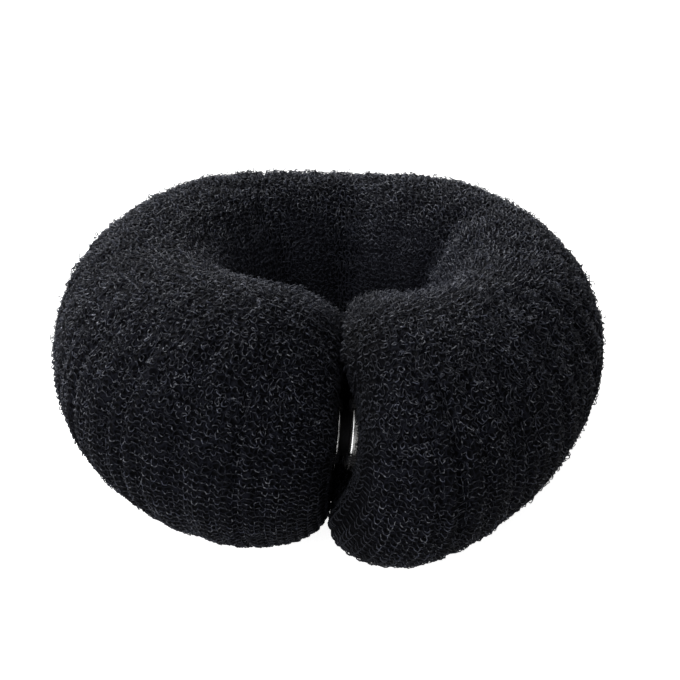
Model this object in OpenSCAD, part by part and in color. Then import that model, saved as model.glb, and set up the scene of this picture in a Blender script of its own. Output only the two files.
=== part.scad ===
// Hair donut bun maker: a padded knit roll bent into a ring, closed at the front by a sewn press stud.
// Millimetres, +Z up, front of the ring towards -Y. The origin is under the middle of the ring.

/* [Roll] */
// Mean radius of the hole that the hair goes through
hole_r = 12; // [10:0.5:14]
// Half the mean height of the padded roll
roll_r = 21.5; // [17:0.5:26]
// Depth that the soft roll is pressed flat where it rests
rest_press = 0.8; // [0.4:0.1:1.6]
// Length of the rounded corner at the right end of the roll
corner_length_right = 9; // [7:0.5:14]
// Length of the rounded corner at the left end of the roll
corner_length_left = 14; // [9:0.5:17]
// Length of roll at each end that bends to close the cleft round the press stud
cleft_length = 18; // [14:1:22]

/* [Closure] */
// Lean of the press stud's axis, which brings the right end down
lean = 6; // [0:0.5:9]
// Distance of the press stud to the right of the middle of the hole
stud_aside = 1.2; // [0:0.1:2]

/* [Press stud] */
// Diameter of both flanges
flange_d = 13; // [11:0.5:15]
// Thickness of the pressed metal
metal_t = 0.5; // [0.4:0.05:0.7]
// Space between the two flanges when the stud is closed
flange_gap = 1.8; // [1.4:0.1:2.2]
// Depth of the skirt that is turned back round the socket
skirt = 1.3; // [1:0.1:1.8]
// Radius of the ball on the stud half
ball_r = 2; // [1.8:0.1:2.2]
// Radius of the ball's neck, where it stands on the flange
neck_r = 1.6; // [1.3:0.1:1.7]
// Width of the socket's collar round the ball
collar_w = 1.8; // [1.2:0.1:2.1]
// Radius of the sewing holes
sew_r = 0.6; // [0.4:0.05:0.7]
// Number of sewing holes in each flange
sew_count = 4; // [3:1:6]

/* [Fits] */
// Radial clearance between the ball and the socket's bore
ball_clear = 0.1; // [0.05:0.05:0.2]
// Clearance between metal faces that meet
metal_clear = 0.05; // [0.03:0.01:0.1]
// Clearance between the knit and the side of the metal
knit_clear = 0.3; // [0.2:0.05:0.5]
// Depth that the front edge of the stud half sinks into the knit
seat_bite = 0.08; // [0.05:0.01:0.2]

/* [Hidden] */
$fn = 96;

// The roll from its right end at 0 degrees round the back to its left end at 360, seen from above:
// hole is the radius of the hole there as a share of hole_r, girth is half the roll's height as a
// share of roll_r, slim is the roll's width as a share of its height, because the bend squeezes it,
// and lift is how far that stretch is raised off the floor as a share of roll_r.
TURN = 0;
HOLE = 1;
GIRTH = 2;
SLIM = 3;
LIFT = 4;
rolls = [
    [0, 0.44, 1.09, 1.00, 0.065],
    [20, 0.40, 1.13, 0.98, 0.035],
    [42, 0.465, 1.08, 0.94, 0.03],
    [66, 0.81, 1.02, 0.87, 0.02],
    [90, 1.26, 0.965, 0.80, 0.00],
    [135, 1.31, 0.905, 0.75, 0.00],
    [180, 1.36, 0.82, 0.75, 0.00],
    [225, 1.375, 0.925, 0.75, 0.00],
    [270, 1.245, 1.045, 0.80, 0.00],
    [325, 0.715, 1.145, 0.92, 0.06],
    [360, 0.435, 0.985, 1.00, 0.055],
];

// The roll's two ends by the direction in the section, where 0 faces away from the hole, 90 is up,
// 180 faces the hole and 270 is down: flat is the radius of the end's face as a share of the roll's
// radius, and stand is how far its rim stands back from the middle of the cleft, as a share of wedge.
// The cleft is open in front of the press stud, from 340 round to 70, and all but closed elsewhere.
FACING = 0;
FLAT_RIGHT = 1;
STAND_RIGHT = 2;
FLAT_LEFT = 3;
STAND_LEFT = 4;
ends = [
    [0, 0.50, 0.9, 0.50, 1.5],
    [20, 0.56, 1.1, 0.55, 1.4],
    [45, 0.635, 1.0, 0.61, 1.3],
    [70, 0.71, 0.3, 0.665, 1.6],
    [90, 0.77, -1.65, 0.71, 1.9],
    [180, 0.85, -1.4, 0.85, 1.7],
    [270, 0.705, -0.6, 0.69, 0.8],
    [315, 0.61, -0.85, 0.62, 1.05],
    [340, 0.54, 0.0, 0.54, 1.4],
    [360, 0.50, 0.9, 0.50, 1.5],
];

// Folds where the bent roll is squeezed round the hole: the place round the ring, the direction in
// the section that the fold faces, its half width in degrees, and its depth as a share of roll_r.
FOLD_TURN = 0;
FOLD_FACING = 1;
FOLD_SPREAD = 2;
FOLD_DEPTH = 3;
folds = [
    [123, 150, 8, 0.08],
    [176, 150, 8, 0.10],
    [213, 155, 9, 0.07],
];

flange_r = flange_d / 2;
bore_r = ball_r + ball_clear;
collar_r = bore_r + collar_w;
sew_place_r = (collar_r + flange_r) / 2;
// The closed press stud lies between these two faces, measured along its axis from its middle
stack = metal_t + flange_gap + skirt;
seat_left = -stack / 2;
seat_right = stack / 2;
stud_face = seat_left + metal_t;
socket_face = stud_face + flange_gap;
boss_r = flange_r - metal_t - knit_clear;
ball_rise = sqrt(pow(ball_r, 2) - pow(neck_r, 2));
seat_r = flange_r + knit_clear;
seat_edge_r = seat_r + metal_t;

SIDES = 56;
FACE_RINGS = 3;
CORNER_STATIONS = 8;
BODY_STATIONS = 72;

// Slope of a table's column at one row, from the rows on both sides of it
function slope(rows, column, i) =
    let (before = max(i - 1, 0), after = min(i + 1, len(rows) - 1))
    (rows[after][column] - rows[before][column]) / (rows[after][0] - rows[before][0]);

// A table's column at place x, on a smooth curve through its rows
function along(rows, column, x, i = 0) =
    x > rows[i + 1][0] && i < len(rows) - 2 ? along(rows, column, x, i + 1) :
    let (
        span = rows[i + 1][0] - rows[i][0],
        u = (x - rows[i][0]) / span,
        start = rows[i][column],
        end = rows[i + 1][column]
    )
    start * (1 + 2 * u) * pow(1 - u, 2) + end * (3 - 2 * u) * pow(u, 2)
        + span * u * (1 - u) * (slope(rows, column, i) * (1 - u) - slope(rows, column, i + 1) * u);

function girth(turn) = along(rolls, GIRTH, turn) * roll_r;
function slim(turn) = along(rolls, SLIM, turn);
function reach(turn) = along(rolls, HOLE, turn) * hole_r + girth(turn) * slim(turn);
function height(turn) = girth(turn) - rest_press + along(rolls, LIFT, turn) * roll_r;

// Round the press stud the ends are planes through the ring's upright axis, which open to the front
clasp_mid = [0, -reach(0), height(0)];
wedge = atan((stack / 2 - seat_bite) / (reach(0) + flange_r));

function from_right(turn) = reach(0) * (turn - wedge) * PI / 180;
function from_left(turn) = reach(0) * (360 - wedge - turn) * PI / 180;
function arc_degrees(length) = length / reach(0) * 180 / PI;

// How much of the roll's radius is left at a station and direction, with both ends rounded
function rounding(length, flat, from_end) =
    let (left = max(0, 1 - from_end / length))
    flat + (1 - flat) * sqrt(1 - pow(left, 2));
function fullness(turn, facing) =
    rounding(corner_length_right, along(ends, FLAT_RIGHT, facing), from_right(turn))
        * rounding(corner_length_left, along(ends, FLAT_LEFT, facing), from_left(turn));

// How far the ends' stand moves a point round the ring, which closes the cleft round the press stud
function fading(from_end) = pow(max(0, 1 - from_end / cleft_length), 2);
function closing(turn, facing) =
    wedge * (along(ends, STAND_RIGHT, facing) - 1) * fading(from_right(turn))
        - wedge * (along(ends, STAND_LEFT, facing) - 1) * fading(from_left(turn));

function fold_depth(turn, facing) = roll_r * max([
    for (fold = folds)
        fold[FOLD_DEPTH] * exp(-pow((turn - fold[FOLD_TURN]) / fold[FOLD_SPREAD], 2))
            * pow(max(0, cos(facing - fold[FOLD_FACING])), 2)
]);

function turned(p, lean) =
    [p.x * cos(lean) + p.z * sin(lean), p.y, p.z * cos(lean) - p.x * sin(lean)];

// The front of the ring leans and shifts with the press stud, and the back half stays upright
function leaned(p, turn) =
    let (share = pow(max(0, cos(turn)), 2))
    clasp_mid + turned(p - clasp_mid, lean * share) + [stud_aside * share, 0, 0];

// A point of the section at a turn, as its distance from the ring's upright axis and its height
function section(turn, radius, facing) =
    [reach(turn) + radius * slim(turn) * cos(facing), height(turn) + radius * sin(facing)];

// Puts a point of the section in its place in the ring, moved round the ring by a swing
function placed(turn, swing, at) =
    let (p = leaned([at.x * sin(turn + swing), -at.x * cos(turn + swing), at.y], turn))
    [p.x, p.y, max(0, p.z)];

function radius_at(turn, facing) =
    girth(turn) * fullness(turn, facing) - fold_depth(turn, facing);
function roll_point(turn, facing) =
    placed(turn, closing(turn, facing), section(turn, radius_at(turn, facing), facing));

// A point of an end's face, with share 0 at the edge of the press stud's flat seat and 1 at the rim
seat_middle = [reach(0), height(0)];
function face_point(turn, facing, share) =
    let (
        seat = seat_middle + seat_edge_r * [cos(facing), sin(facing)],
        rim = section(turn, radius_at(turn, facing), facing)
    )
    placed(turn, closing(turn, facing) * pow(share, 2) * (3 - 2 * share), seat + share * (rim - seat));

// Stations crowd together in the rounded corners
body_start = wedge + arc_degrees(corner_length_right);
body_end = 360 - wedge - arc_degrees(corner_length_left);
stations = concat(
    [for (i = [0:CORNER_STATIONS - 1])
        wedge + arc_degrees(corner_length_right) * (1 - cos(90 * i / CORNER_STATIONS))],
    [for (i = [0:BODY_STATIONS]) body_start + (body_end - body_start) * i / BODY_STATIONS],
    [for (i = [CORNER_STATIONS - 1:-1:0])
        360 - wedge - arc_degrees(corner_length_left) * (1 - cos(90 * i / CORNER_STATIONS))]
);
facings = [for (side = [0:SIDES - 1]) 360 * side / SIDES];
face_shares = [for (i = [0:FACE_RINGS - 1]) i / FACE_RINGS];
skin = concat(
    [for (i = [0:FACE_RINGS - 1]) for (facing = facings) face_point(wedge, facing, face_shares[i])],
    [for (turn = stations) for (facing = facings) roll_point(turn, facing)],
    [for (i = [FACE_RINGS - 1:-1:0]) for (facing = facings)
        face_point(360 - wedge, facing, face_shares[i])]
);
rings = len(stations) + 2 * FACE_RINGS;
right_middle = len(skin);
left_middle = right_middle + 1;
roll_points = concat(skin, [placed(wedge, 0, seat_middle), placed(360 - wedge, 0, seat_middle)]);

function skin_index(ring, side) = ring * SIDES + side % SIDES;
roll_faces = concat(
    [for (ring = [0:rings - 2]) for (side = [0:SIDES - 1]) each [
        [skin_index(ring, side), skin_index(ring, side + 1), skin_index(ring + 1, side + 1)],
        [skin_index(ring, side), skin_index(ring + 1, side + 1), skin_index(ring + 1, side)]
    ]],
    [for (side = [0:SIDES - 1]) [right_middle, skin_index(0, side + 1), skin_index(0, side)]],
    [for (side = [0:SIDES - 1])
        [left_middle, skin_index(rings - 1, side), skin_index(rings - 1, side + 1)]]
);

// The origin lies under the middle of the roll's own box
function middle_of(axis) =
    let (values = [for (p = skin) p[axis]]) (min(values) + max(values)) / 2;
base_mid = [middle_of(0), middle_of(1), 0];

// Places a piece of the press stud, whose own axis is +Z, pointing to the right end
module at_clasp() {
    translate(clasp_mid + [stud_aside, 0, 0] - base_mid)
        rotate([0, lean + 90, 0])
            children();
}

// A cylinder round the press stud's axis between two distances from its middle
module disc(radius, from, to) {
    translate([0, 0, from]) cylinder(r = radius, h = to - from);
}

module sew_holes(from, to) {
    for (i = [0:sew_count - 1])
        rotate([0, 0, 360 * i / sew_count])
            translate([sew_place_r, 0, 0]) disc(sew_r, from, to);
}

// Padded roll of knit mesh, with a flat seat for the press stud on each end
module knit_roll() {
    color([0.05, 0.05, 0.06]) union() {
        difference() {
            translate(-base_mid) polyhedron(roll_points, roll_faces, convexity = 6);
            at_clasp() disc(seat_r, seat_left, seat_right);
        }
        // Gathered knit that fills the socket's cup
        at_clasp() disc(boss_r, socket_face + metal_t + metal_clear, seat_right + metal_t);
    }
}

// Left half of the press stud: a sewn flange and the ball
module snap_stud() {
    color([0.7, 0.7, 0.72]) at_clasp() difference() {
        rotate_extrude() union() {
            translate([0, seat_left]) square([flange_r - metal_t / 2, metal_t]);
            translate([flange_r - metal_t / 2, seat_left + metal_t / 2]) circle(d = metal_t, $fn = 48);
            intersection() {
                translate([0, stud_face + ball_rise]) circle(r = ball_r);
                translate([0, seat_left + metal_t / 2]) square([ball_r, stack - skirt + metal_t / 2]);
            }
        }
        sew_holes(seat_left - metal_t, stud_face + metal_clear);
    }
}

// Right half of the press stud: a collar with the bore, a sewn flange and a skirt turned back over the knit
module snap_socket() {
    color([0.75, 0.75, 0.77]) at_clasp() difference() {
        rotate_extrude() union() {
            translate([bore_r, stud_face + metal_clear])
                square([collar_w, flange_gap + metal_t - metal_clear]);
            translate([bore_r, socket_face]) square([flange_r - metal_t - bore_r, metal_t]);
            translate([flange_r - metal_t, socket_face + metal_t])
                square([metal_t, skirt - metal_t]);
            intersection() {
                translate([flange_r - metal_t, socket_face + metal_t]) circle(r = metal_t);
                translate([flange_r - metal_t, socket_face]) square(metal_t);
            }
        }
        sew_holes(socket_face - metal_clear, socket_face + metal_t * 2);
    }
}

knit_roll();
snap_stud();
snap_socket();
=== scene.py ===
# Hair donut bun maker: a padded roll of black knit mesh, closed at the front by a sewn press stud.
# Sizes are in millimetres. A mesh, the lights and the camera get metres.
import math

import bmesh
import bpy
import numpy as np
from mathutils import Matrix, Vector, noise
from mathutils.bvhtree import BVHTree


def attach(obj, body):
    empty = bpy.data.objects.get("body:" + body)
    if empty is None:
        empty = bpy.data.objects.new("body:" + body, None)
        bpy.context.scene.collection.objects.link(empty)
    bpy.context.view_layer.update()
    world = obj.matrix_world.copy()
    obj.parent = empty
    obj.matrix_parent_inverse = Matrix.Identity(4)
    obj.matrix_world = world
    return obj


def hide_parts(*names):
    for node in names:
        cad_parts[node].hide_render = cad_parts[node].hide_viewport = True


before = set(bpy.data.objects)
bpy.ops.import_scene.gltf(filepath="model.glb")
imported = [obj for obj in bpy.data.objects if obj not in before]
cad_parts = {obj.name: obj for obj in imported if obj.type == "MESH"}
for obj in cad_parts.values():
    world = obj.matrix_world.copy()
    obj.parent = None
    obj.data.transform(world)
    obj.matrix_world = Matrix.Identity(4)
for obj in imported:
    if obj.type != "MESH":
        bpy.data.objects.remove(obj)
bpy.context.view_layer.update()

MM = 0.001

# Sizes of the roll and the press stud, as in the part's source

HOLE_R = 12.0
ROLL_R = 21.5
REST_PRESS = 0.8
CORNER_RIGHT = 9.0
CORNER_LEFT = 14.0
CLEFT_LENGTH = 18.0
LEAN = 6.0
STUD_ASIDE = 1.2
FLANGE_R = 6.5
METAL_T = 0.5
FLANGE_GAP = 1.8
SKIRT = 1.3
SEW_COUNT = 4
KNIT_CLEAR = 0.3
SEAT_BITE = 0.08
STACK = METAL_T + FLANGE_GAP + SKIRT
SEAT_EDGE_R = FLANGE_R + KNIT_CLEAR + METAL_T
# Share of the way to the rim where an end's flat seat stops
SEAT_SHARE = 0.4

# Turn round the ring, hole radius as a share of HOLE_R, half the roll's height as a share of ROLL_R,
# its width as a share of its height, and its lift as a share of ROLL_R
TURN, HOLE, GIRTH, SLIM, LIFT = range(5)
ROLLS = np.array([
    (0, 0.44, 1.09, 1.00, 0.065),
    (20, 0.40, 1.13, 0.98, 0.035),
    (42, 0.465, 1.08, 0.94, 0.03),
    (66, 0.81, 1.02, 0.87, 0.02),
    (90, 1.26, 0.965, 0.80, 0.00),
    (135, 1.31, 0.905, 0.75, 0.00),
    (180, 1.36, 0.82, 0.75, 0.00),
    (225, 1.375, 0.925, 0.75, 0.00),
    (270, 1.245, 1.045, 0.80, 0.00),
    (325, 0.715, 1.145, 0.92, 0.06),
    (360, 0.435, 0.985, 1.00, 0.055),
])
# Direction in the section, then the flat's share and the rim's stand of the right end and of the left
FACING, FLAT_RIGHT, STAND_RIGHT, FLAT_LEFT, STAND_LEFT = range(5)
ENDS = np.array([
    (0, 0.50, 0.9, 0.50, 1.5),
    (20, 0.56, 1.1, 0.55, 1.4),
    (45, 0.635, 1.0, 0.61, 1.3),
    (70, 0.71, 0.3, 0.665, 1.6),
    (90, 0.77, -1.65, 0.71, 1.9),
    (180, 0.85, -1.4, 0.85, 1.7),
    (270, 0.705, -0.6, 0.69, 0.8),
    (315, 0.61, -0.85, 0.62, 1.05),
    (340, 0.54, 0.0, 0.54, 1.4),
    (360, 0.50, 0.9, 0.50, 1.5),
])
# Turn, direction, half width in degrees, depth as a share of ROLL_R
FOLDS = [
    (123, 150, 8, 0.08),
    (176, 150, 8, 0.10),
    (213, 155, 9, 0.07),
]


# The roll's form

def sind(a):
    return np.sin(np.radians(a))


def cosd(a):
    return np.cos(np.radians(a))


def along(rows, column, place):
    """A table's column at a place, on a smooth curve through its rows."""
    place = np.asarray(place, float)
    last = len(rows) - 1
    i = np.clip(np.searchsorted(rows[:, 0], place, side="left") - 1, 0, last - 1)

    def slope(k):
        before, after = np.maximum(k - 1, 0), np.minimum(k + 1, last)
        return (rows[after, column] - rows[before, column]) / (rows[after, 0] - rows[before, 0])

    span = rows[i + 1, 0] - rows[i, 0]
    u = (place - rows[i, 0]) / span
    start, end = rows[i, column], rows[i + 1, column]
    bend = span * u * (1 - u) * (slope(i) * (1 - u) - slope(i + 1) * u)
    return start * (1 + 2 * u) * (1 - u) ** 2 + end * (3 - 2 * u) * u ** 2 + bend


def girth(turn):
    return along(ROLLS, GIRTH, turn) * ROLL_R


def slim(turn):
    return along(ROLLS, SLIM, turn)


def reach(turn):
    return along(ROLLS, HOLE, turn) * HOLE_R + girth(turn) * slim(turn)


def height(turn):
    return girth(turn) - REST_PRESS + along(ROLLS, LIFT, turn) * ROLL_R


END_REACH, END_HEIGHT = float(reach(0)), float(height(0))
CLASP_MID = np.array([0.0, -END_REACH, END_HEIGHT])
WEDGE = math.degrees(math.atan((STACK / 2 - SEAT_BITE) / (END_REACH + FLANGE_R)))


def arc_degrees(length):
    return length / END_REACH * 180 / math.pi


def from_right(turn):
    return END_REACH * np.radians(turn - WEDGE)


def from_left(turn):
    return END_REACH * np.radians(360 - WEDGE - turn)


def rounding(length, flat, from_end):
    left = np.clip(1 - from_end / length, 0, 1)
    return flat + (1 - flat) * np.sqrt(1 - left ** 2)


def closing(turn, facing):
    """How far the ends' stand moves a point round the ring, in degrees."""
    near_right = np.clip(1 - from_right(turn) / CLEFT_LENGTH, 0, None) ** 2
    near_left = np.clip(1 - from_left(turn) / CLEFT_LENGTH, 0, None) ** 2
    right = (along(ENDS, STAND_RIGHT, facing) - 1) * near_right
    left = (along(ENDS, STAND_LEFT, facing) - 1) * near_left
    return WEDGE * (right - left)


def turned(points, lean):
    x, y, z = points[..., 0], points[..., 1], points[..., 2]
    return np.stack([x * cosd(lean) + z * sind(lean), y, z * cosd(lean) - x * sind(lean)], -1)


def leaned(points, turn):
    """The front of the ring leans and shifts with the press stud."""
    share = np.maximum(0, cosd(turn)) ** 2
    aside = np.stack([STUD_ASIDE * share, 0 * share, 0 * share], -1)
    return CLASP_MID + turned(points - CLASP_MID, LEAN * share) + aside


def section(turn, radius, facing):
    """A point of the section: its distance from the ring's upright axis and its height."""
    return reach(turn) + radius * slim(turn) * cosd(facing), height(turn) + radius * sind(facing)


def placed(turn, swing, out, up):
    """Puts a point of the section in its place in the ring, moved round the ring by a swing."""
    out, up, turn = np.broadcast_arrays(out, up, turn)
    points = leaned(np.stack([out * sind(turn + swing), -out * cosd(turn + swing), up], -1), turn)
    points[..., 2] = np.maximum(points[..., 2], 0)
    return points


def radius_at(turn, facing):
    full = rounding(CORNER_RIGHT, along(ENDS, FLAT_RIGHT, facing), from_right(turn))
    full = full * rounding(CORNER_LEFT, along(ENDS, FLAT_LEFT, facing), from_left(turn))
    fold = np.max([
        depth * np.exp(-((turn - place) / half) ** 2) * np.maximum(0, cosd(facing - way)) ** 2
        for place, way, half, depth in FOLDS
    ], axis=0) * ROLL_R
    return girth(turn) * full - fold


def roll_point(turn, facing, sink=0.0):
    """A point of the roll's skin, or this far below it."""
    turn, facing = np.broadcast_arrays(np.asarray(turn, float), np.asarray(facing, float) % 360)
    out, up = section(turn, radius_at(turn, facing) - sink, facing)
    return placed(turn, closing(turn, facing), out, up)


def face_point(turn, facing, share, sink=0.0):
    """A point of an end's face, with share 0 in its middle, on the press stud's axis, and 1 on its rim."""
    facing = np.asarray(facing, float) % 360
    turn, facing, share = np.broadcast_arrays(np.asarray(turn, float), facing, share)
    rim_out, rim_up = section(turn, radius_at(turn, facing) - sink, facing)
    seat_out, seat_up = END_REACH + SEAT_EDGE_R * cosd(facing), END_HEIGHT + SEAT_EDGE_R * sind(facing)
    inner = np.minimum(share / SEAT_SHARE, 1)
    outer = np.clip((share - SEAT_SHARE) / (1 - SEAT_SHARE), 0, 1)
    out = END_REACH + (seat_out - END_REACH) * inner + (rim_out - seat_out) * outer
    up = END_HEIGHT + (seat_up - END_HEIGHT) * inner + (rim_up - seat_up) * outer
    return placed(turn, closing(turn, facing) * outer ** 2 * (3 - 2 * outer), out, up)


# Steps of the source's mesh: in a corner, between the corners and round a section
CORNER_STEPS, BODY_STEPS, SECTION_STEPS = 8, 72, 56


def source_stations():
    """The places round the ring where the part's source has its sections."""
    corner = 1 - cosd(90 * np.arange(CORNER_STEPS) / CORNER_STEPS)
    start, end = WEDGE + arc_degrees(CORNER_RIGHT), 360 - WEDGE - arc_degrees(CORNER_LEFT)
    return np.concatenate([
        WEDGE + arc_degrees(CORNER_RIGHT) * corner,
        start + (end - start) * np.arange(BODY_STEPS + 1) / BODY_STEPS,
        360 - WEDGE - arc_degrees(CORNER_LEFT) * corner[::-1],
    ])


# The origin lies under the middle of the roll's own box, as in the source
source_facings = 360 * np.arange(SECTION_STEPS) / SECTION_STEPS
source_skin = roll_point(source_stations()[:, None], source_facings[None, :]).reshape(-1, 3)
BASE_MID = np.array([
    (source_skin[:, 0].min() + source_skin[:, 0].max()) / 2,
    (source_skin[:, 1].min() + source_skin[:, 1].max()) / 2,
    0,
])
CLASP = CLASP_MID + np.array([STUD_ASIDE, 0, 0]) - BASE_MID


def to_clasp(points):
    """Part frame to the press stud's own frame: x along its axis to the right, -y to the front, z up."""
    return turned(points - CLASP, -LEAN)


def from_clasp(points):
    return CLASP + turned(points, LEAN)


def smooth(low, high, value):
    t = np.clip((value - low) / (high - low), 0, 1)
    return t * t * (3 - 2 * t)


# Points nearer than this to the press stud's middle, along its axis, are held off it
STUD_REACH = 12
# How far past the flange's rim the full room goes. Past that it tapers, by so many times the room over a
# length, and is cut off.
RIM_ROOM = 1.1
TAPER_DEPTH = 4
TAPER_LENGTH = 4.4
TAPER_END = 2.9
# Added to the rim's room and to the room along the axis where the left end falls back
BACK_RIM_ROOM = 4.8
BACK_ROOM = 0.3


def clear_of_stud(points, side, spare):
    """Keeps points of one end (side +1 right, -1 left) off the press stud."""
    p = to_clasp(points)
    from_axis = np.hypot(p[..., 1], p[..., 2])
    facing = np.degrees(np.arctan2(p[..., 2], -p[..., 1]))
    # The left end falls back in front, so the rim of the left half shows
    front = (np.asarray(side) < 0) * smooth(-75, -45, facing) * (1 - smooth(85, 120, facing))
    taper = FLANGE_R + RIM_ROOM + BACK_RIM_ROOM * front
    room = STACK / 2 + spare + BACK_ROOM * front
    need = room * (1 - TAPER_DEPTH * smooth(taper, taper + TAPER_LENGTH, from_axis))
    near = (np.abs(p[..., 0]) < STUD_REACH) & (from_axis < taper + TAPER_END)
    x = np.where(near, side * np.maximum(side * p[..., 0], need), p[..., 0])
    q = np.stack([x, p[..., 1], p[..., 2]], -1)
    return np.where(near[..., None], from_clasp(q), points)


# Meshes

def new_piece(name, points, faces, edges=()):
    mesh = bpy.data.meshes.new(name)
    mesh.from_pydata([tuple(p) for p in np.asarray(points) * MM], list(edges), [tuple(f) for f in faces])
    mesh.update()
    piece = bpy.data.objects.new(name, mesh)
    bpy.context.collection.objects.link(piece)
    return piece


def positions(mesh):
    flat = np.empty(len(mesh.vertices) * 3, np.float32)
    mesh.vertices.foreach_get("co", flat)
    return flat.reshape(-1, 3).astype(float) / MM


def set_positions(mesh, points):
    mesh.vertices.foreach_set("co", (np.asarray(points) * MM).astype(np.float32).ravel())
    mesh.update()


def vertex_normals(mesh):
    flat = np.empty(len(mesh.vertices) * 3, np.float32)
    mesh.vertex_normals.foreach_get("vector", flat)
    return flat.reshape(-1, 3)


def triangles(piece):
    return sum(len(face.vertices) - 2 for face in piece.data.polygons)


def new_mesh_of(piece):
    """The evaluated object's mesh, as a mesh of its own."""
    graph = bpy.context.evaluated_depsgraph_get()
    return bpy.data.meshes.new_from_object(piece.evaluated_get(graph))


def baked(piece, name):
    """The evaluated object as a plain mesh object with no modifiers."""
    mesh = new_mesh_of(piece)
    bpy.data.objects.remove(piece)
    mesh.name = name
    plain = bpy.data.objects.new(name, mesh)
    bpy.context.collection.objects.link(plain)
    return plain


# The padded roll

# How far the pad lies below the solid's skin, and on the ends' faces
PAD_SINK = 1.15
FACE_SINK = 0.09
# Room between the press stud and the pad or a course of knit
STUD_ROOM = 0.5
# The lowest that the pad and the knit's strands go
PAD_LOWEST = 0.15
KNIT_LOWEST = 0.02
PAD_SIDES = 54
PAD_STATIONS = 150
# Shares of the way from an end face's middle to its rim where it has a ring of points
FACE_SHARES = (0.84, 0.68, 0.52, 0.36, 0.18)


def from_ends(turn):
    return np.minimum(from_right(turn), from_left(turn))


def pad_sink(turn):
    """How far the pad lies below the solid's skin: least at the ends, where the knit is thin."""
    return FACE_SINK + (PAD_SINK - FACE_SINK) * smooth(0, 14, from_ends(turn))


def eased_turns(count, closer):
    """Places from one end of the roll to the other, closer together in the corners by this share."""
    start, end = WEDGE + arc_degrees(FACE_SINK), 360 - WEDGE - arc_degrees(FACE_SINK)
    ease = np.linspace(0, 1, count)
    ease = ease - closer * np.sin(2 * math.pi * ease)
    return start + (end - start) * ease


def make_pad():
    """The stuffed roll under the knit, before the stuffing swells it."""
    stations = eased_turns(PAD_STATIONS, 0.105)
    facings = 360 * np.arange(PAD_SIDES) / PAD_SIDES
    right_face = [face_point(stations[0], facings, share, FACE_SINK) for share in FACE_SHARES[::-1]]
    body = list(roll_point(stations[:, None], facings[None, :], pad_sink(stations)[:, None]))
    left_face = [face_point(stations[-1], facings, share, FACE_SINK) for share in FACE_SHARES]
    poles = [face_point(turn, 0.0, 0.0)[None] for turn in (stations[0], stations[-1])]
    sections = right_face + body + left_face
    points = np.concatenate(sections + poles) - BASE_MID
    count, sides = len(sections), PAD_SIDES
    faces = []
    for ring in range(count - 1):
        for side in range(sides):
            a, b = ring * sides + side, ring * sides + (side + 1) % sides
            faces.append((a, b, b + sides, a + sides))
    right_pole, left_pole = count * sides, count * sides + 1
    for side in range(sides):
        ahead = (side + 1) % sides
        faces.append((right_pole, ahead, side))
        last_ring = (count - 1) * sides
        faces.append((left_pole, last_ring + side, last_ring + ahead))
    inner = len(FACE_SHARES)
    turns = np.concatenate([np.full(inner, stations[0]), stations, np.full(inner, stations[-1])])
    side_of = np.concatenate([np.repeat(np.where(turns < 180, 1.0, -1.0), sides), [1.0, -1.0]])
    # The stuffing is free to swell away from the cleft
    free = smooth(0, 30, from_ends(turns))
    free = np.concatenate([np.repeat(free, sides), [0.0, 0.0]])
    rest = clear_of_stud(points, side_of, STUD_ROOM)
    pad = new_piece("knit_roll_pad", rest, faces)
    normals_out(pad.data)
    return pad, rest, side_of, free


def normals_out(mesh):
    """Turns the faces of a closed mesh outwards."""
    work = bmesh.new()
    work.from_mesh(mesh)
    bmesh.ops.recalc_face_normals(work, faces=work.faces)
    work.to_mesh(mesh)
    work.free()


def puff(piece, rest, side_of, free, frames=12, most=0.9):
    """Swells the stuffing with a cloth simulation, and keeps every point near the roll's own form."""
    cloth = piece.modifiers.new("stuffing", "CLOTH")
    settings = cloth.settings
    settings.quality = 5
    settings.mass = 0.25
    settings.tension_stiffness = 12
    settings.compression_stiffness = 6
    settings.shear_stiffness = 4
    settings.bending_stiffness = 0.4
    settings.use_pressure = True
    settings.uniform_pressure_force = 3.5
    settings.shrink_min = -0.02
    settings.effector_weights.gravity = 0
    cloth.point_cache.frame_start = 1
    cloth.point_cache.frame_end = frames
    for number in range(1, frames + 1):
        bpy.context.scene.frame_set(number)
    mesh = new_mesh_of(piece)
    swollen = positions(mesh)
    bpy.data.meshes.remove(mesh)
    piece.modifiers.remove(cloth)
    bpy.context.scene.frame_set(1)
    move = (swollen - rest) * (0.2 + 0.8 * free)[:, None]
    length = np.linalg.norm(move, axis=1)
    print("stuffing moved, mm: mean", round(float(length.mean()), 2), "most", round(float(length.max()), 2))
    move *= np.minimum(1, most / np.maximum(length, 1e-9))[:, None]
    settled = clear_of_stud(rest + move, side_of, STUD_ROOM)
    settled[:, 2] = np.maximum(settled[:, 2], PAD_LOWEST)
    set_positions(piece.data, settled)


# Sizes in mm of the pad's relief
GATHER_DEPTH = 0.9
CLUMP_SIZE = 2.6
CLUMP_HEIGHT = 0.55


def gathers(turn, facing):
    """Depth of the soft gathers that run round the outer side of the roll, in mm."""
    t = np.radians(turn)
    wave = np.sin(66 * t + 1.8 * np.sin(7 * t + 1) + 1.3 * np.sin(17 * t))
    wave = wave + 0.5 * np.sin(31 * t + 2 * np.sin(5 * t))
    # Stronger by fits and starts, and most of all on the right lobe
    strong = 0.6 + 0.4 * np.sin(5 * t + 2) * np.sin(11 * t)
    strong = strong + 0.35 * np.exp(-((turn - 50) / 30) ** 2)
    facing = (np.asarray(facing) + 90) % 360 - 90
    outer = np.maximum(0, cosd(facing - 5)) ** 0.6 * (0.3 + 0.7 * smooth(-60, -25, facing))
    return GATHER_DEPTH * outer * strong * smooth(2, 9, from_ends(turn)) * np.clip(wave, -0.4, None)


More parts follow.
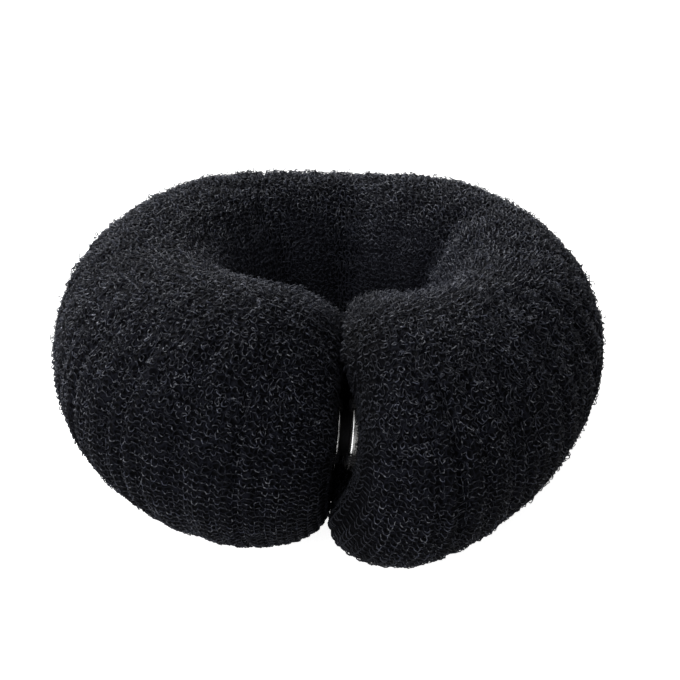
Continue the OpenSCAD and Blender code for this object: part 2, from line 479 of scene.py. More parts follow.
# Turn, half width in degrees, and depth in mm of the creases and the swells between them inside the hole
CREASES = [(176, 5, 1.3), (123, 6, 1.2), (213, 6, 1.0), (156, 9, -0.9), (195, 7, -0.5)]


def creases(turn, facing):
    deep = sum(depth * np.exp(-((turn - place) / half) ** 2) for place, half, depth in CREASES)
    return deep * np.maximum(0, cosd(facing - 145)) ** 2


def clumps(points, facing):
    """Height of the small clumps that the top of the knit is roughed into, in mm."""
    rough = np.array([noise.noise(Vector(p) / CLUMP_SIZE) for p in points])
    return CLUMP_HEIGHT * rough * np.maximum(0, sind(facing + 10)) ** 0.7


def gather_pad(mesh):
    """Draws the pad in along the gathers and creases, and raises its clumps."""
    points = positions(mesh)
    own = points + BASE_MID
    turn = np.degrees(np.arctan2(own[:, 0], -own[:, 1])) % 360
    out = np.hypot(own[:, 0], own[:, 1])
    facing = np.degrees(np.arctan2(own[:, 2] - height(turn), out - reach(turn)))
    deep = gathers(turn, facing) + creases(turn, facing) - clumps(points, facing)
    drawn = points - vertex_normals(mesh) * deep[:, None]
    drawn[:, 2] = np.maximum(drawn[:, 2], PAD_LOWEST)
    set_positions(mesh, drawn)


pad, pad_rest, pad_side, pad_free = make_pad()
puff(pad, pad_rest, pad_side, pad_free)
fine = pad.modifiers.new("fine", "SUBSURF")
fine.levels = fine.render_levels = 1
pad = baked(pad, "knit_roll_pad")
gather_pad(pad.data)
pad.data.shade_smooth()


# Courses of knit

COURSES = 98
# Loops round the ring in a neat course, and a loop's length on the ends' faces and, in the other courses,
# inside the hole and outside it
WALES = 176
FACE_LOOP = 1.6
HOLE_LOOP = 1.3
OUTSIDE_LOOP = 1.55
STRAND_R = 0.105
# Straight bits in a loop, and in a loop of the underside
SEGMENTS = 9
SEGMENTS_BELOW = 7
# About how far apart a course's own points are, in mm
GUIDE_STEP = 1.5
# Shares of the way from an end face's middle to its rim where a course has points, for four courses in turn
COURSE_SHARES = [(0.62, 0.75, 0.87), (0.6, 0.75, 0.87), (0.45, 0.6, 0.75, 0.87), (0.6, 0.75, 0.87)]
# Height of a course over the pad, what every second one rises by on the ridges, and how far it is sewn down
COURSE_LIFT = 0.06
RIDGE_LIFT = 0.4
SEWN_SINK = 0.12
# The knit is sewn down this far along the press stud's axis, and less from one radius to another about it
SEWN_REACH = 4.5
SEWN_R = (7.4, 9)
SWAY_SEED, COURSE_SEED, WALE_SEED, TANGLE_SEED = 500, 1000, 2000, 3000
# Loose loops on a square metre of the top
LOOSE_PER_M2 = 270000.0

pad_tree = BVHTree.FromObject(pad, bpy.context.evaluated_depsgraph_get())


def on_pad(points, lift):
    """The nearest points of the pad, raised off it, and the pad's outward direction there."""
    placed, outward = np.empty_like(points), np.empty_like(points)
    for i, p in enumerate(points):
        near, normal, _, _ = pad_tree.find_nearest(Vector(p * MM))
        outward[i] = normal
        placed[i] = np.array(near) / MM
    return placed + outward * lift, outward


def ridges(turn, facing):
    """How strongly every second course stands up, where the right end is drawn tight."""
    facing = (facing + 90) % 360 - 90
    lengthwise = smooth(22, 40, turn) * (1 - smooth(85, 110, turn))
    return lengthwise * smooth(5, 25, facing) * (1 - smooth(60, 85, facing))


def wander(seed, place, pace=1.0):
    """A smooth random curve between about -1 and 1."""
    rng = np.random.default_rng(seed)
    total = np.zeros_like(np.asarray(place, float))
    for octave in (1, 2.3, 4.9):
        total += np.sin(np.asarray(place) * octave * pace + rng.uniform(0, 2 * math.pi)) / octave
    return total / 1.6


def course_points(number, facing):
    """A course's points from face to face, their places round the ring and how many lie on each face."""
    # The courses inside the ring are shorter
    round_ring = 2 * math.pi * (reach(90) + girth(90) * max(-0.75, math.cos(math.radians(facing))))
    turn = eased_turns(max(60, int(round_ring / GUIDE_STEP)), 0.08)
    sway = facing + 1.1 * wander(number // 3, np.radians(turn), 3)
    sway = sway + 0.5 * wander(SWAY_SEED + number, np.radians(turn), 9)
    shares = np.array(COURSE_SHARES[number % 4])
    points = np.concatenate([
        face_point(turn[0], sway[0], shares, FACE_SINK) - BASE_MID,
        roll_point(turn, sway, pad_sink(turn)) - BASE_MID,
        face_point(turn[-1], sway[-1], shares[::-1], FACE_SINK) - BASE_MID,
    ])
    turn = np.pad(turn, len(shares), mode="edge")
    return clear_of_stud(points, np.where(turn < 180, 1.0, -1.0), STUD_ROOM), turn, len(shares)


def loops_along(number, facing, turn, face, length, neat):
    """How many loops along its course each point is."""
    if neat > 0.5:
        # The loops line up from course to course
        on_skin = WALES * turn[face:-face] / 360
        before = on_skin[0] - (length[face] - length[:face]) / FACE_LOOP
        after = on_skin[-1] + (length[-face:] - length[-face - 1]) / FACE_LOOP
        return np.concatenate([before, on_skin, after])
    loop = HOLE_LOOP if 110 < facing < 250 else OUTSIDE_LOOP
    start = np.random.default_rng(COURSE_SEED + number).uniform(0, 1)
    return length / loop + start + 0.35 * wander(WALE_SEED + number, length / 9)


def course(number):
    """One course of knit: its path over the skin and the end faces, its phase and how tangled it is."""
    facing = 360 * (number + 0.5) / COURSES
    level = facing - 360 * (facing > 200)
    points, turn, face = course_points(number, facing)
    raised = np.full(len(points), COURSE_LIFT)
    if number % 2:
        raised[face:-face] += RIDGE_LIFT * ridges(turn[face:-face], facing)
    at_stud = to_clasp(points)
    sewn = 1 - smooth(*SEWN_R, np.hypot(at_stud[:, 1], at_stud[:, 2]))
    sewn = sewn * (np.abs(at_stud[:, 0]) < SEWN_REACH)
    points, outward = on_pad(points, (raised - SEWN_SINK * sewn)[:, None])
    length = np.concatenate([[0], np.cumsum(np.linalg.norm(np.diff(points, axis=0), axis=1))])
    # Neat below the outer side's shoulder, flatter there on the left and more stirred on the right
    neat = smooth(-100, -80, level) * (1 - smooth(26, 50, level))
    on_left = smooth(110, 200, turn)
    wale = loops_along(number, facing, turn, face, length, neat)
    rise = 2 * math.pi * girth(turn) / COURSES * (1 - 0.24 * neat * on_left)
    loop = np.gradient(length) / np.maximum(np.gradient(wale), 0.2)
    unrest = 1 - neat + 0.27 * neat * (1 + wander(TANGLE_SEED + number, length / 14))
    unrest = unrest + 0.35 * neat * (1 - on_left)
    # The courses that turn under the roll lie close, and so do the loops beside the press stud
    low = smooth(-90, -62, level) * (1 - smooth(0, 1, (level + 50 - 16 * on_left) / 33))
    unrest = unrest * (1 - 0.8 * sewn) * (1 - 0.75 * low)
    lie = (1 - 0.6 * sewn) * (1 - 0.5 * low)
    row = np.full(len(points), float(number))
    return dict(points=points, outward=outward, wale=wale, rise=rise, loop=np.clip(loop, 0.7, 2.2),
                unrest=unrest, lie=lie, row=row, facing=facing)


def guide_mesh(name, courses):
    """The courses as chains of edges, with what the knit needs to know at each point."""
    points = np.concatenate([c["points"] for c in courses])
    edges, at = [], 0
    for c in courses:
        edges += [(at + i, at + i + 1) for i in range(len(c["points"]) - 1)]
        at += len(c["points"])
    piece = new_piece(name, points, [], edges)
    mesh = piece.data

    def keep(title, values, kind="FLOAT", field="value"):
        attribute = mesh.attributes.new(title, kind, "POINT")
        attribute.data.foreach_set(field, np.asarray(values, np.float32).ravel())

    keep("outward", np.concatenate([c["outward"] for c in courses]), "FLOAT_VECTOR", "vector")
    for title in ("wale", "unrest", "lie", "row"):
        keep(title, np.concatenate([c[title] for c in courses]))
    for title in ("rise", "loop"):
        keep(title, np.concatenate([c[title] for c in courses]) * MM)
    steps = []
    for c in courses:
        segments = SEGMENTS_BELOW if 240 < c["facing"] < 325 else SEGMENTS
        steps.append(np.full(len(c["points"]), np.mean(c["loop"]) / segments))
    keep("step", np.concatenate(steps) * MM)
    return piece


class Field:
    """A socket of a node tree, with the arithmetic that fields and patterns are written in."""

    def __init__(self, tree, socket=None):
        self.tree, self.socket = tree, socket

    def add(self, kind, settings=None, values=None, out=0):
        """Adds a node: its settings first, then the values or links of its sockets."""
        node = self.tree.nodes.new(kind)
        for name, value in (settings or {}).items():
            setattr(node, name, value)
        for name, value in (values or {}).items():
            if isinstance(value, Field):
                self.tree.links.new(value.socket, node.inputs[name])
            else:
                node.inputs[name].default_value = value
        return type(self)(self.tree, node.outputs[out])

    def math(self, operation, *terms):
        return self.add("ShaderNodeMath", {"operation": operation}, dict(enumerate(terms)))

    def vector(self, operation, *terms, out=0):
        return self.add("ShaderNodeVectorMath", {"operation": operation}, dict(enumerate(terms)), out)

    def eased(self, start, end, low=0.0, high=1.0):
        """Goes smoothly from low to high where this value goes from start to end."""
        return self.add("ShaderNodeMapRange", {"interpolation_type": "SMOOTHSTEP"},
                        {0: self, 1: start, 2: end, 3: low, 4: high})

    def __add__(self, other):
        return self.math("ADD", self, other)

    def __mul__(self, other):
        return self.math("MULTIPLY", self, other)

    __radd__, __rmul__ = __add__, __mul__

    def __sub__(self, other):
        return self.math("SUBTRACT", self, other)

    def __rsub__(self, other):
        return self.math("SUBTRACT", other, self)


class Weave(Field):
    """A socket of a Geometry Nodes tree."""

    def node(self, kind, values=None, settings=None, out=0):
        return self.add("GeometryNode" + kind, settings, values, out)

    def scaled(self, amount):
        return self.add("ShaderNodeVectorMath", {"operation": "SCALE"}, {0: self, "Scale": amount})

    def named(self, title, kind="FLOAT"):
        return self.node("InputNamedAttribute", {"Name": title}, {"data_type": kind})

    def rubbed(self, amount):
        """The curve with the value that its material reads, of how much painted highlight it gets."""
        return self.node("StoreNamedAttribute", {"Geometry": self, "Name": "rubbed", "Value": amount},
                         {"data_type": "FLOAT", "domain": "POINT"})

    def strand(self, sides, radius, material, last):
        """Gives the curve a round body, and ends the tree."""
        ring = self.node("CurvePrimitiveCircle", {"Resolution": sides, "Radius": radius})
        body = self.node("CurveToMesh", {"Curve": self, "Profile Curve": ring, "Fill Caps": True})
        body = self.node("SetShadeSmooth", {"Geometry": body})
        body = self.node("RealizeInstances", {"Geometry": body})
        body = self.node("SetMaterial", {"Geometry": body, "Material": material})
        self.tree.links.new(body.socket, last.inputs[0])


def new_tree(title, inputs):
    """An empty tree with named inputs, and its first and last nodes."""
    tree = bpy.data.node_groups.new(title, "GeometryNodeTree")
    tree.interface.new_socket("Geometry", in_out="INPUT", socket_type="NodeSocketGeometry")
    for name, kind, value in inputs:
        socket = tree.interface.new_socket(name, in_out="INPUT", socket_type="NodeSocket" + kind)
        if value is not None:
            socket.default_value = value
    tree.interface.new_socket("Geometry", in_out="OUTPUT", socket_type="NodeSocketGeometry")
    first, last = tree.nodes.new("NodeGroupInput"), tree.nodes.new("NodeGroupOutput")
    given = {socket.name: Weave(tree, socket) for socket in first.outputs if socket.name}
    return tree, given, last


def set_inputs(modifier, values):
    for item in modifier.node_group.interface.items_tree:
        if item.in_out == "INPUT" and item.name in values:
            modifier[item.identifier] = values[item.name]


def knit_tree():
    """Turns each chain of edges into a strand bent into a course of knit loops."""
    tree, given, last = new_tree("knit_courses", [
        ("Strand radius", "Float", STRAND_R * MM),
        ("Loop height", "Float", 0.86),
        ("Loop waist", "Float", 0.17),
        ("Loop slant", "Float", 0.5),
        ("Loop depth", "Float", 0.44 * MM),
        ("Unevenness", "Float", 0.7 * MM),
        ("Tangle", "Float", 0.5 * MM),
        ("Seed", "Float", 3.0),
        ("Material", "Material", None),
    ])
    w = Weave(tree)
    courses = w.node("MeshToCurve", {"Mesh": given["Geometry"]})
    courses = w.node("ResampleCurve", {"Curve": courses, "Length": w.named("step")}, {"mode": "LENGTH"})
    outward = w.named("outward", "FLOAT_VECTOR")
    tangent = w.node("InputTangent")
    across = w.vector("NORMALIZE", w.vector("CROSS_PRODUCT", outward, tangent))
    wale, row, unrest = w.named("wale"), w.named("row"), w.named("unrest")
    seed = given["Seed"]

    def uneven(scale, shift):
        """Noise that is smooth along a course and loose from course to course, -0.5 to 0.5."""
        place = w.add("ShaderNodeCombineXYZ", None, {0: wale * scale, 1: row * 3.37 + shift, 2: seed})
        field = w.add("ShaderNodeTexNoise", {"noise_dimensions": "3D"},
                      {"Vector": place, "Scale": 1.0, "Detail": 1.0, "Roughness": 0.6})
        return field - 0.5

    phase = wale * (2 * math.pi) + unrest * uneven(0.9, 11.0) * 3.0
    swing = w.math("COSINE", phase)
    double = w.math("SINE", phase * 2.0 + given["Loop slant"])
    under = w.math("COSINE", phase * 2.0)
    tall = 1.0 + uneven(0.7, 21.0) * (0.5 + unrest * 1.2)
    rise = w.named("rise") * given["Loop height"] * tall * swing
    along_it = w.named("loop") * given["Loop waist"] * double
    # Where a loop is drawn tight it sinks, so the rows look broken
    lift = given["Loop depth"] * (0.85 * under - 0.15 * swing) * (1.0 + uneven(1.1, 71.0) * 1.2)
    lift = (lift + given["Unevenness"] * uneven(0.8, 81.0)) * w.named("lie")
    lift = lift + unrest * given["Tangle"] * uneven(1.7, 31.0) * 1.6
    stir = unrest * given["Tangle"]
    stray_along = tangent.scaled(stir * uneven(1.9, 41.0) * 2.4)
    stray_across = across.scaled(stir * uneven(1.9, 51.0) * 2.4)
    offset = w.vector("ADD", tangent.scaled(along_it), across.scaled(rise))
    offset = w.vector("ADD", offset, outward.scaled(lift))
    offset = w.vector("ADD", offset, w.vector("ADD", stray_along, stray_across))
    # The lower arc of each loop gets a painted highlight, which its material reads
    courses = courses.rubbed(swing.eased(0.3, -0.8))
    courses = w.node("SetPosition", {"Geometry": courses, "Offset": offset})
    courses = w.node("SetCurveRadius", {"Curve": courses, "Radius": 1.0 + uneven(2.1, 61.0) * 0.7})
    courses.strand(3, given["Strand radius"], given["Material"], last)
    return tree


# A loose loop's arc in degrees, how far it tilts each way in radians, and its sizes beside the tree's own
LOOSE_SWEEP = 155
LOOSE_TILT = 1.2
LOOSE_SIZES = (0.5, 1.35)
# How much painted highlight a loose loop gets, 0 to 1
LOOSE_HIGHLIGHT = 0.6


def loose_tree():
    """Scatters drawn-out loops of strand over the pad, each bent its own way."""
    tree, given, last = new_tree("loose_loops", [
        ("Loops a square metre", "Float", 1.0),
        ("Loop radius", "Float", 0.64 * MM),
        ("Strand radius", "Float", 0.085 * MM),
        ("Stand", "Float", 0.42 * MM),
        ("Crumple", "Float", 1.3 * MM),
        ("Seed", "Int", 5),
        ("Material", "Material", None),
    ])
    w = Weave(tree)
    density = given["Loops a square metre"] * w.named("fuzzy")
    scatter = w.node("DistributePointsOnFaces",
                     {"Mesh": given["Geometry"], "Density": density, "Seed": given["Seed"]},
                     {"distribute_method": "RANDOM"})
    upright = Weave(tree, scatter.socket.node.outputs["Rotation"])
    sweep = math.radians(LOOSE_SWEEP)
    arc = w.node("CurveArc", {"Resolution": 9, "Radius": given["Loop radius"], "Sweep Angle": sweep},
                 {"mode": "RADIUS"})
    stand = w.add("ShaderNodeCombineXYZ", None, {2: given["Stand"]})
    raised = w.add("FunctionNodeRotateVector", None, {"Vector": stand, "Rotation": upright})
    scatter = w.node("SetPosition", {"Geometry": scatter, "Offset": raised})
    tilt = w.add("FunctionNodeRandomValue", {"data_type": "FLOAT_VECTOR"},
                 {0: (-LOOSE_TILT, -LOOSE_TILT, 0.0), 1: (LOOSE_TILT, LOOSE_TILT, 2 * math.pi), "Seed": 11})
    tilt = w.add("FunctionNodeEulerToRotation", None, {"Euler": tilt})
    way = w.add("FunctionNodeRotateRotation", {"rotation_space": "LOCAL"},
                {"Rotation": upright, "Rotate By": tilt})
    size = w.add("FunctionNodeRandomValue", {"data_type": "FLOAT"},
                 {2: LOOSE_SIZES[0], 3: LOOSE_SIZES[1], "Seed": 12}, out=1)
    loops = w.node("InstanceOnPoints", {"Points": scatter, "Instance": arc, "Rotation": way, "Scale": size})
    loops = w.node("RealizeInstances", {"Geometry": loops})
    place = w.node("InputPosition")
    bend = w.add("ShaderNodeTexNoise", {"noise_dimensions": "3D"},
                 {"Vector": place, "Scale": 1300.0, "Detail": 1.0}, out=1)
    bend = w.vector("SUBTRACT", bend, (0.5, 0.5, 0.5)).scaled(given["Crumple"])
    loops = w.node("SetPosition", {"Geometry": loops, "Offset": bend})
    loops.rubbed(LOOSE_HIGHLIGHT).strand(3, given["Strand radius"], given["Material"], last)
    return tree


def thread_tree():
    """Gives each chain of edges the round body of a sewing thread."""
    tree, given, last = new_tree("sewing_thread", [
        ("Thread radius", "Float", 0.14 * MM),
        ("Sides", "Int", 7),
        ("Material", "Material", None),
    ])
    run = given["Geometry"].node("MeshToCurve", {"Mesh": given["Geometry"]})
    run.strand(given["Sides"], given["Thread radius"], given["Material"], last)
    return tree


# Materials

class Shade(Field):
    """A socket of a material."""

    def node(self, kind, values=None, settings=None, out=0):
        return self.add("ShaderNode" + kind, settings, values, out)

    def place(self):
        """Object coordinates."""
        return self.node("TexCoord", out=3)

    def noise(self, place, scale, detail, **values):
        return self.node("TexNoise", {"Vector": place, "Scale": scale, "Detail": detail, **values})

    def part(self, number):
        """A vector's x, y or z."""
        return self.node("SeparateXYZ", {0: self}, out=number)

    def colours(self, low, high):
        """A colour between two, by this value."""
        low, high = (c if isinstance(c, Shade) else (*c, 1) for c in (low, high))
        return self.node("Mix", {0: self, 6: low, 7: high}, {"data_type": "RGBA"}, 2)

    def bump(self, strength, distance):
        return self.node("Bump", {"Strength": strength, "Distance": distance, "Height": self})


def new_material(title):
    material = bpy.data.materials.new(title)
    material.use_nodes = True
    tree = material.node_tree
    tree.nodes.clear()
    surface = tree.nodes.new("ShaderNodeBsdfPrincipled")
    output = tree.nodes.new("ShaderNodeOutputMaterial")
    tree.links.new(surface.outputs[0], output.inputs[0])
    return material, surface, Shade(tree)


def feed(surface, name, value):
    if isinstance(value, Shade):
        surface.id_data.links.new(value.socket, surface.inputs[name])
    else:
        surface.inputs[name].default_value = value


STUD_AXIS = (math.cos(math.radians(LEAN)), 0.0, -math.sin(math.radians(LEAN)))
# Painted shade in the cleft fades out from one distance to another from the press stud's middle plane, and
# from one y to another.
# Between two heights the strip of painted shade narrows by this much.
CLEFT_SHADE_ACROSS = (1.5, 6)
CLEFT_SHADE_BACK = (-12, 2)
WIDER_STRIP_Z = (13, 23)
WIDER_STRIP = 2.2
# The hole's shade fades out from one radius to another about the ring's upright axis
HOLE_SHADE_R = (17, 27)


def in_metres(values):
    return [value * MM for value in values]


def from_stud(s, place):
    """The way from the press stud's middle to a place, and how far it goes along the press stud's axis."""
    away = s.vector("SUBTRACT", place, tuple(CLASP * MM))
    return away, s.vector("DOT_PRODUCT", away, STUD_AXIS, out=1)


def outside_cleft(s, place):
    """0 on the ends' faces in the cleft, where the knit gets painted shade, and 1 on the rest of the roll.
    """
    across = s.math("ABSOLUTE", from_stud(s, place)[1])
    # The strip of painted shade is wider below the press stud
    wider = place.part(2).eased(*in_metres(WIDER_STRIP_Z), WIDER_STRIP * MM, 0.0)
    apart = (across - wider).eased(*in_metres(CLEFT_SHADE_ACROSS))
    behind = place.part(1).eased(*in_metres(CLEFT_SHADE_BACK))
    return s.math("MAXIMUM", apart, behind)


def in_hole(s, place):
    """1 on the walls of the hole, which little light reaches, where the colour is evened out as painted
    light, and 0 on the rest of the roll.
    """
    middle = tuple(-BASE_MID[:2] * MM) + (0.0,)
    out = s.vector("DISTANCE", s.vector("MULTIPLY", place, (1.0, 1.0, 0.0)), middle, out=1)
    return out.eased(*in_metres(HOLE_SHADE_R), 1.0, 0.0)


def strand_material():
    """Black nylon strand: near black, with painted highlights as cool grey stretches about a loop long, and
    painted glints.
    """
    material, surface, s = new_material("black_nylon_strand")
    place = s.place()
    patch = s.noise(place, 240.0, 2.0)
    stretch = s.noise(place, 900.0, 2.0, Roughness=0.6)
    # Painted highlights: random grey stretches about a loop long, strongest on each loop's lower arc
    rubbed = (stretch + (patch - 0.5) * 0.35).eased(0.48, 0.70)
    arc = 0.3 + s.node("Attribute", None, {"attribute_name": "rubbed"}, 2) * 1.1
    hole = in_hole(s, place)
    even = (1.0 - hole) * arc
    # Painted light in the hole: the strands get an even mid tone, with fewer painted highlights
    shade = rubbed * even + hole * (0.34 + rubbed * 0.12)
    shade = shade.colours((0.0012, 0.0014, 0.0028), (0.042, 0.046, 0.066))
    # Painted glints: small bright specks on the strands, fewer in the hole
    fine = s.noise(place, 1900.0, 1.0)
    glint = (fine + (patch - 0.5) * 0.3).eased(0.58, 0.72) * (0.1 + even * 0.9)
    shade = glint.colours(shade, (0.15, 0.155, 0.17))
    # Painted shade in the cleft: there the strands take a much darker colour
    out_of_cleft_shade = outside_cleft(s, place)
    cleft_shade_colour = rubbed.colours((0.0008, 0.0009, 0.0015), (0.011, 0.012, 0.017))
    feed(surface, "Base Color", out_of_cleft_shade.colours(cleft_shade_colour, shade))
    feed(surface, "Roughness", 0.6 - out_of_cleft_shade * 0.12 - rubbed * 0.2)
    feed(surface, "Specular IOR Level", 0.5)
    feed(surface, "Specular Tint", (0.80, 0.84, 1.0, 1))
    return material


def pad_material():
    """The deeper layers of knit between the loops: very dark, with loops in relief, painted shade in the
    cleft and painted light in the hole.
    """
    material, surface, s = new_material("black_knit_underlayer")
    place = s.place()
    cells = s.node("TexVoronoi", {"Vector": place, "Scale": 900.0}, {"feature": "DISTANCE_TO_EDGE"})
    fuzz = s.noise(place, 1500.0, 3.0)
    strand = s.math("SMOOTH_MIN", 1.0 - cells * 6.0, fuzz * 1.6, 0.2)
    hole = in_hole(s, place)
    # Painted shade in the cleft: there the loops between get a darker colour
    out_of_cleft_shade = outside_cleft(s, place)
    shade = (strand * (0.1 + out_of_cleft_shade * 0.9)).colours((0.0008, 0.0009, 0.0018), (0.006, 0.0067, 0.0115))
    # Painted light in the hole: the darks are lifted towards an even dim grey
    feed(surface, "Base Color", (hole * 0.8).colours(shade, (0.012, 0.0125, 0.0175)))
    feed(surface, "Roughness", 0.85 - strand * 0.2)
    feed(surface, "Specular IOR Level", 0.08)
    feed(surface, "Normal", strand.bump(0.8, 0.4 * MM))
    return material


def thread_material():
    """Black polyester sewing thread, with its twist as fine slanting bands."""
    material, surface, s = new_material("black_sewing_thread")
    twist = s.node("TexWave", {"Vector": s.place(), "Scale": 1400.0, "Distortion": 1.5, "Detail": 1.0},
                   {"wave_type": "BANDS", "bands_direction": "DIAGONAL"}, 1)
    feed(surface, "Base Color", twist.colours((0.002, 0.002, 0.003), (0.011, 0.011, 0.014)))
    feed(surface, "Roughness", 0.62 - twist * 0.15)
    feed(surface, "Specular IOR Level", 0.3)
    feed(surface, "Normal", twist.bump(0.5, 0.05 * MM))
    return material


def nickel_material():
    """Bright nickel plate with fine scuffs, painted shade near black inside the rim, and spotted on the
    right half's skirt.
    """
    material, surface, s = new_material("bright_nickel_plate")
    place = s.place()
    cloud = s.noise(place, 400.0, 3.0)
    scuff = s.noise(place, 4000.0, 2.0)
    away, along_axis = from_stud(s, place)
    on_axis = s.node("VectorMath", {0: STUD_AXIS, "Scale": along_axis}, {"operation": "SCALE"})
    from_axis = s.vector("DISTANCE", away, on_axis, out=1)
    # Painted shade: the recess inside the rim, between the halves, is near black
    bright = (from_axis + (cloud - 0.5) * (0.6 * MM)).eased(5.0 * MM, 6.0 * MM)
    dull = (along_axis + (cloud - 0.5) * (0.4 * MM)).eased(1.25 * MM, 1.45 * MM)
    plate = cloud.colours((0.66, 0.65, 0.64), (0.84, 0.84, 0.85))
    spots = scuff.eased(0.42, 0.62, 0.06, 0.4).colours((0.0, 0.0, 0.0), (1.0, 1.0, 1.0))
    plate = dull.colours(plate, spots)
    feed(surface, "Base Color", bright.colours((0.012, 0.012, 0.013), plate))
    feed(surface, "Metallic", 1.0)
    feed(surface, "Roughness", 0.62 - bright * 0.46 + dull * 0.2 + cloud * 0.1)
    feed(surface, "Normal", scuff.bump(0.25, 0.05 * MM))
    return material


def floor_material():
    material, surface, _ = new_material("pale_paper_floor")
    feed(surface, "Base Color", (0.8, 0.8, 0.8, 1))
    feed(surface, "Roughness", 0.9)
    feed(surface, "Emission Color", (1, 1, 1, 1))
    feed(surface, "Emission Strength", 0.85)
    return material


STRAND, UNDER, THREAD, NICKEL = strand_material(), pad_material(), thread_material(), nickel_material()


def dress(piece, material):
    piece.data.materials.clear()
    piece.data.materials.append(material)


dress(pad, UNDER)
for node_name in ("snap_stud", "snap_socket"):
    dress(bpy.data.objects[node_name], NICKEL)


# The knit, one piece for each side of the roll

KNIT = knit_tree()
# Each piece's courses, by the direction in the section that they start from and end at
SIDES_OF_ROLL = {
    "knit_outer_side": (-35, 22),
    "knit_shoulder": (22, 75),
    "knit_top": (75, 130),
    "knit_hole_side": (130, 240),
    "knit_underside": (240, 325),
}
all_courses = [course(number) for number in range(COURSES)]
knit_pieces = []
for title, (low, high) in SIDES_OF_ROLL.items():
    chosen = [c for c in all_courses if low <= c["facing"] < high or low <= c["facing"] - 360 < high]
    guide = guide_mesh(title + "_guide", chosen)
    knit = guide.modifiers.new("knit", "NODES")
    knit.node_group = KNIT
    set_inputs(knit, {"Material": STRAND})
    piece = baked(guide, title)
    print(title, len(chosen), "courses", triangles(piece), "triangles")
    knit_pieces.append(piece)


def loose_loops():
    """Drawn-out loops over the knit's upper half, most of them on its top and none by the press stud."""
    points = positions(pad.data)
    up = vertex_normals(pad.data)[:, 2]
    at_stud = to_clasp(points)
    across, back, above = np.abs(at_stud[:, 0]), at_stud[:, 1], at_stud[:, 2]
    near_stud = (across < 5) & (np.hypot(back, above) < 11)
    in_cleft = (across < 4) & (back < 5) & (above < 12)
    by_floor = points[:, 2] < 1.5
    fuzzy = 0.33 * smooth(0.0, 0.42, up) + 0.67 * smooth(0.2, 0.8, up)
    fuzzy = np.where(near_stud | in_cleft | by_floor, 0.0, fuzzy)
    guide = bpy.data.objects.new("loose_loops_guide", pad.data.copy())
    bpy.context.collection.objects.link(guide)
    guide.data.attributes.new("fuzzy", "FLOAT", "POINT").data.foreach_set("value", fuzzy.astype(np.float32))
    loops = guide.modifiers.new("loops", "NODES")
    loops.node_group = loose_tree()
    set_inputs(loops, {"Material": STRAND, "Loops a square metre": LOOSE_PER_M2})
    return baked(guide, "knit_loose_loops")


knit_pieces.append(loose_loops())
print("knit_loose_loops", triangles(knit_pieces[-1]), "triangles")


# The threads that sew the press stud on, from each hole over the rim into the knit

THREADS_A_HOLE = 6
THREAD_SEED = 77
# Along the press stud's axis from its middle, and from the axis, for the left half and the right half
LEFT_RUN = [
    (-1.75, 4.9), (-1.3, 5.1), (-1.1, 5.6), (-1.12, 6.3), (-1.5, 6.75), (-2.2, 7.1), (-3.2, 7.6),
]
RIGHT_RUN = [
    (0.95, 4.9), (0.5, 5.1), (0.3, 5.6), (0.32, 6.3), (0.65, 6.72), (1.6, 6.85), (2.4, 7.2), (3.3, 7.8),
]
# How wide a hole's threads spread in mm, at distances from the axis
SPREAD_AT, SPREAD = (4.9, 5.4, 6.6), (0.35, 0.9, 1.9)


def smooth_run(corners, steps=5):
    """Points on a smooth curve through the corners."""
    corners = np.asarray(corners, float)
    padded = np.concatenate([[2 * corners[0] - corners[1]], corners, [2 * corners[-1] - corners[-2]]])
    points = []
    for i in range(len(corners) - 1):
        a, b, c, d = padded[i:i + 4]
        for t in np.arange(steps) / steps:
            bent = (2 * a - 5 * b + 4 * c - d) * t ** 2 + (3 * b - a - 3 * c + d) * t ** 3
            points.append(0.5 * (2 * b + (c - a) * t + bent))
    return np.array(points + [corners[-1]])


def sewing_threads():
    """The threads of both halves, fanned out past the rim, as one piece."""
    rng = np.random.default_rng(THREAD_SEED)
    points, edges = [], []
    for run in (LEFT_RUN, RIGHT_RUN):
        for hole in range(SEW_COUNT):
            place = 360 * hole / SEW_COUNT
            for k in range(THREADS_A_HOLE):
                share = (k - (THREADS_A_HOLE - 1) / 2) / (THREADS_A_HOLE - 1)
                x, r = np.array(run).T
                spread = np.interp(r, SPREAD_AT, SPREAD) * share
                spread[3:] += rng.uniform(-0.12, 0.12)
                r[3:] += rng.uniform(0, 0.14)
                line = smooth_run(np.stack([x, r, spread], -1))
                turn = place + np.degrees(line[:, 2] / line[:, 1])
                own = np.stack([line[:, 0], -line[:, 1] * cosd(turn), line[:, 1] * sind(turn)], -1)
                edges += [(len(points) + i, len(points) + i + 1) for i in range(len(own) - 1)]
                points += list(from_clasp(own))
    guide = new_piece("sewing_threads_guide", points, [], edges)
    body = guide.modifiers.new("thread", "NODES")
    body.node_group = thread_tree()
    set_inputs(body, {"Material": THREAD})
    return baked(guide, "sewing_threads")


knit_pieces.append(sewing_threads())

for piece in knit_pieces:
    points = positions(piece.data)
    points[:, 2] = np.maximum(points[:, 2], KNIT_LOWEST)
    set_positions(piece.data, points)


# What rides on what

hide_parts("knit_roll")
for piece in [pad] + knit_pieces:
    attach(piece, "root")


# The stage

# Half the floor's side, in mm
FLOOR_HALF = 3000
SKY_STRENGTH = 0.32
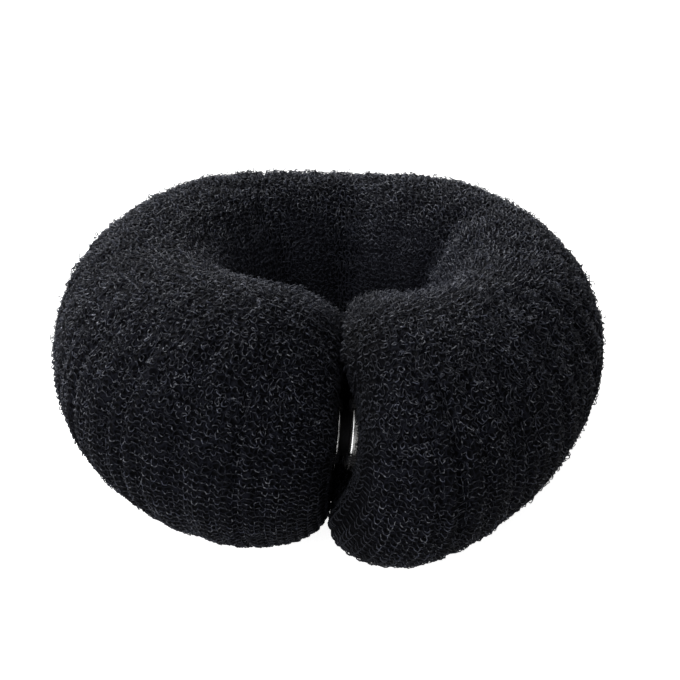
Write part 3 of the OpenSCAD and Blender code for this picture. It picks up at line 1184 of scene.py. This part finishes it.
# Place in m, size in m and power in W
LIGHTS = {
    "left_window": ((-0.45, 0.60, 0.50), 0.3, 6.2),
    "overhead": ((-0.24, -0.15, 0.80), 0.85, 2.2),
    "front_wall": ((-0.56, -0.70, 0.26), 1.5, 10.4),
    "back_wall": ((-0.10, 1.0, 0.26), 1.2, 4.8),
}
LIGHTS_AIM = (0, 0, 0.02)
# The photograph's view, from the front and well above: rise in degrees, distance and aim in m, lens in mm
CAMERA_RISE = 40.511
CAMERA_DISTANCE = 0.39366
CAMERA_AIM = (0.00171, 0.02824, -0.00064)
CAMERA_LENS = 104.18
CAMERA_SENSOR = 36


def make_floor():
    """Pale paper, hidden from bounce light, because a black knit picks up little light from below."""
    half = FLOOR_HALF
    corners = [(-half, -half, 0), (half, -half, 0), (half, half, 0), (-half, half, 0)]
    floor = new_piece("floor", corners, [(0, 1, 2, 3)])
    dress(floor, floor_material())
    floor.visible_diffuse = floor.visible_glossy = False


def aim(thing, target):
    way = Vector(target) - thing.location
    thing.rotation_mode = "QUATERNION"
    thing.rotation_quaternion = way.to_track_quat("-Z", "Y")


def soft_light(title, place, size, power):
    lamp = bpy.data.lights.new(title, "AREA")
    lamp.shape = "DISK"
    lamp.size = size
    lamp.energy = power
    light = bpy.data.objects.new(title, lamp)
    light.location = place
    bpy.context.collection.objects.link(light)
    aim(light, LIGHTS_AIM)


def make_camera():
    rise, target = math.radians(CAMERA_RISE), Vector(CAMERA_AIM)
    lens = bpy.data.cameras.new("photo_view")
    lens.sensor_width = CAMERA_SENSOR
    lens.lens = CAMERA_LENS
    lens.clip_start, lens.clip_end = 0.01, 20
    camera = bpy.data.objects.new("photo_view", lens)
    bpy.context.collection.objects.link(camera)
    camera.location = target + Vector((0, -math.cos(rise), math.sin(rise))) * CAMERA_DISTANCE
    aim(camera, target)
    bpy.context.scene.camera = camera


make_floor()
make_camera()
for title, (place, size, power) in LIGHTS.items():
    soft_light(title, place, size, power)
world = bpy.data.worlds.new("studio")
world.use_nodes = True
sky = world.node_tree.nodes["Background"]
sky.inputs["Color"].default_value = (1, 1, 1, 1)
sky.inputs["Strength"].default_value = SKY_STRENGTH
bpy.context.scene.world = world
bpy.context.scene.view_settings.view_transform = "Standard"

print("all pieces", sum(triangles(piece) for piece in [pad] + knit_pieces), "triangles")
